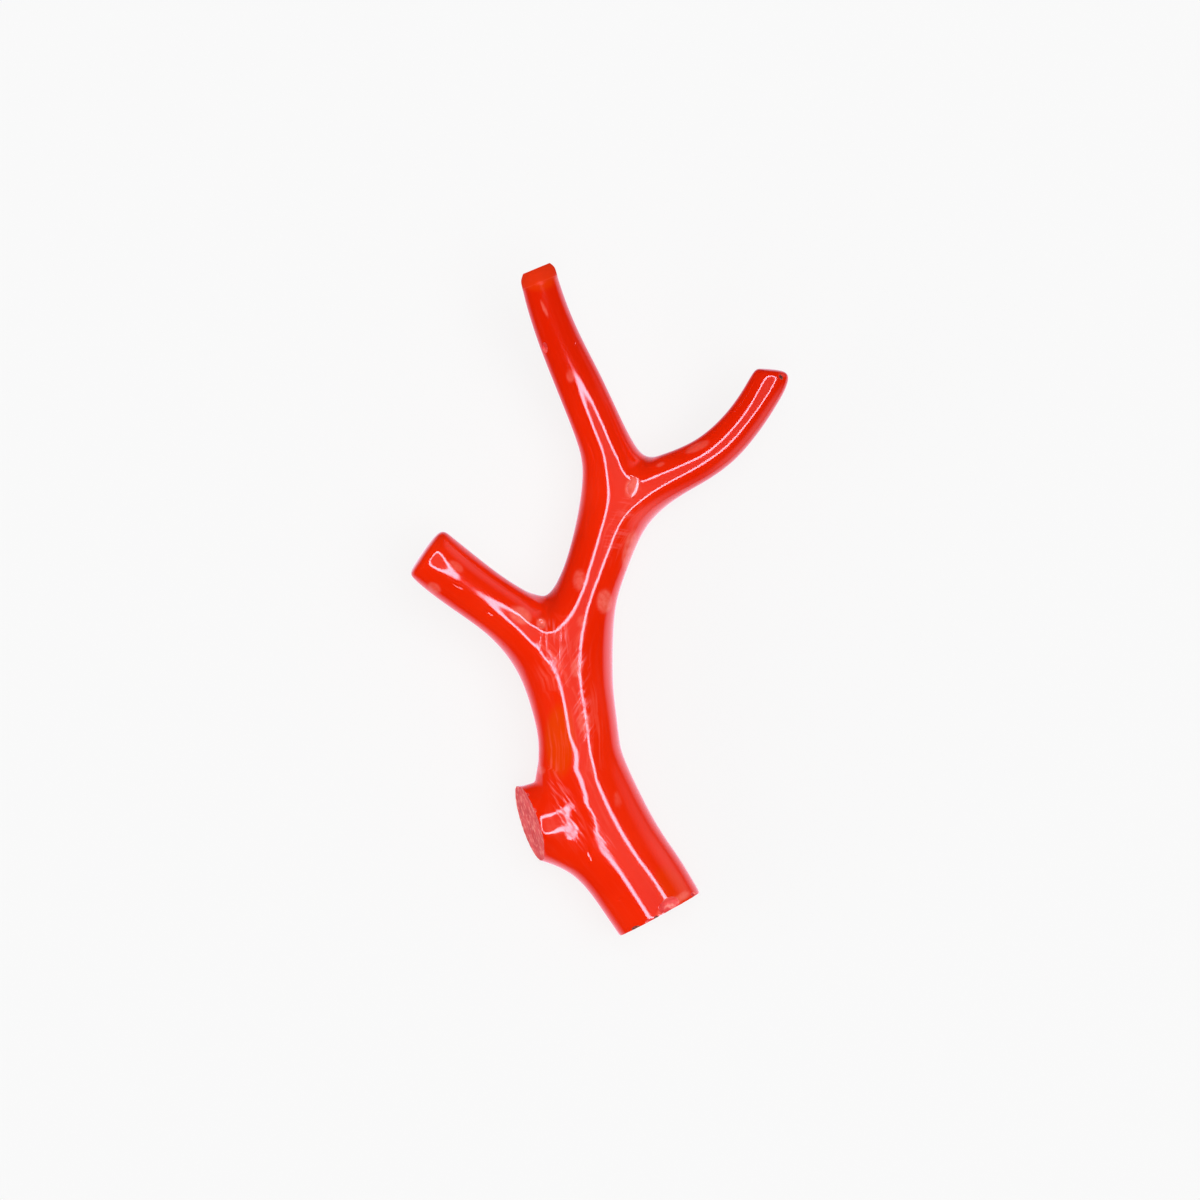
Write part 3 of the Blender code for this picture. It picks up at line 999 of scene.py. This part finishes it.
def make_ring_lamp():
    """The soft ring of light whose reflection draws the bright lines."""
    deselect_objects()
    inner = LAMP_HEIGHT * tan(LAMP_TILT - LAMP_SPREAD)
    outer = LAMP_HEIGHT * tan(LAMP_TILT + LAMP_SPREAD)
    place = (*LAMP_CENTRE, LAMP_HEIGHT)
    bpy.ops.mesh.primitive_circle_add(
        vertices=96, radius=outer, fill_type="NGON", location=place)
    lamp = bpy.context.object
    bpy.ops.object.mode_set(mode="EDIT")
    bpy.ops.mesh.inset(thickness=outer - inner)
    bpy.ops.mesh.delete(type="FACE")
    bpy.ops.object.mode_set(mode="OBJECT")
    lamp.name = "ring_lamp"
    half_width = (outer - inner) / 2
    lamp.data.materials.append(glow_material(
        "ring_lamp_glow", "#ffe0fb", LAMP_STRENGTH,
        (LAMP_CORE * half_width, half_width), (outer + inner) / 2))
    show_only_in_reflections(lamp)


def add_softbox(name, place, size, power):
    """A soft square lamp that faces the branch and leaves no reflection on it."""
    deselect_objects()
    facing = (-Vector(place)).to_track_quat("-Z", "Y")
    bpy.ops.object.light_add(type="AREA", location=place, rotation=facing.to_euler())
    lamp = bpy.context.object
    lamp.name = name
    lamp.data.shape = "SQUARE"
    lamp.data.size = size
    lamp.data.energy = power
    lamp.visible_camera = False
    lamp.visible_glossy = False


def make_world():
    """A dim white surround that leaves no reflection."""
    world = bpy.data.worlds.new("studio_surround")
    bpy.context.scene.world = world
    world.use_nodes = True
    world.node_tree.nodes.clear()
    tree = world.node_tree
    glow = add_node(
        tree, "ShaderNodeBackground", {"Color": colour("#ffffff"), "Strength": 0.35})
    add_node(tree, "ShaderNodeOutputWorld", {"Surface": glow.outputs["Background"]})
    world.cycles_visibility.glossy = False


def make_camera():
    """A camera that looks straight down on the branch."""
    deselect_objects()
    distance = VIEW_WIDTH * CAMERA_LENS / SENSOR_WIDTH + MIDDLE_HEIGHT
    place = Vector((*VIEW_CENTRE, distance)) * MM
    bpy.ops.object.camera_add(location=place, rotation=(0.0, 0.0, 0.0))
    camera = bpy.context.object
    camera.name = "studio_camera"
    camera.data.lens = CAMERA_LENS
    camera.data.sensor_width = SENSOR_WIDTH
    bpy.context.scene.camera = camera


def main():
    """The branch in its frame, and the studio round it."""
    branch = make_branch((polished_coral(), sawn_coral(), grimy_coral()))
    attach(branch, "root")
    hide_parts("trunk", "left_branch", "upper_stem", "top_branch", "right_branch")
    make_table()
    make_backdrop()
    make_ring_lamp()
    make_haze_card()
    make_rim_card()
    make_side_cards()
    for name, place, size, power in SOFTBOXES:
        add_softbox(name, place, size, power)
    make_world()
    make_camera()
    bpy.context.scene.view_settings.view_transform = "Standard"


main()
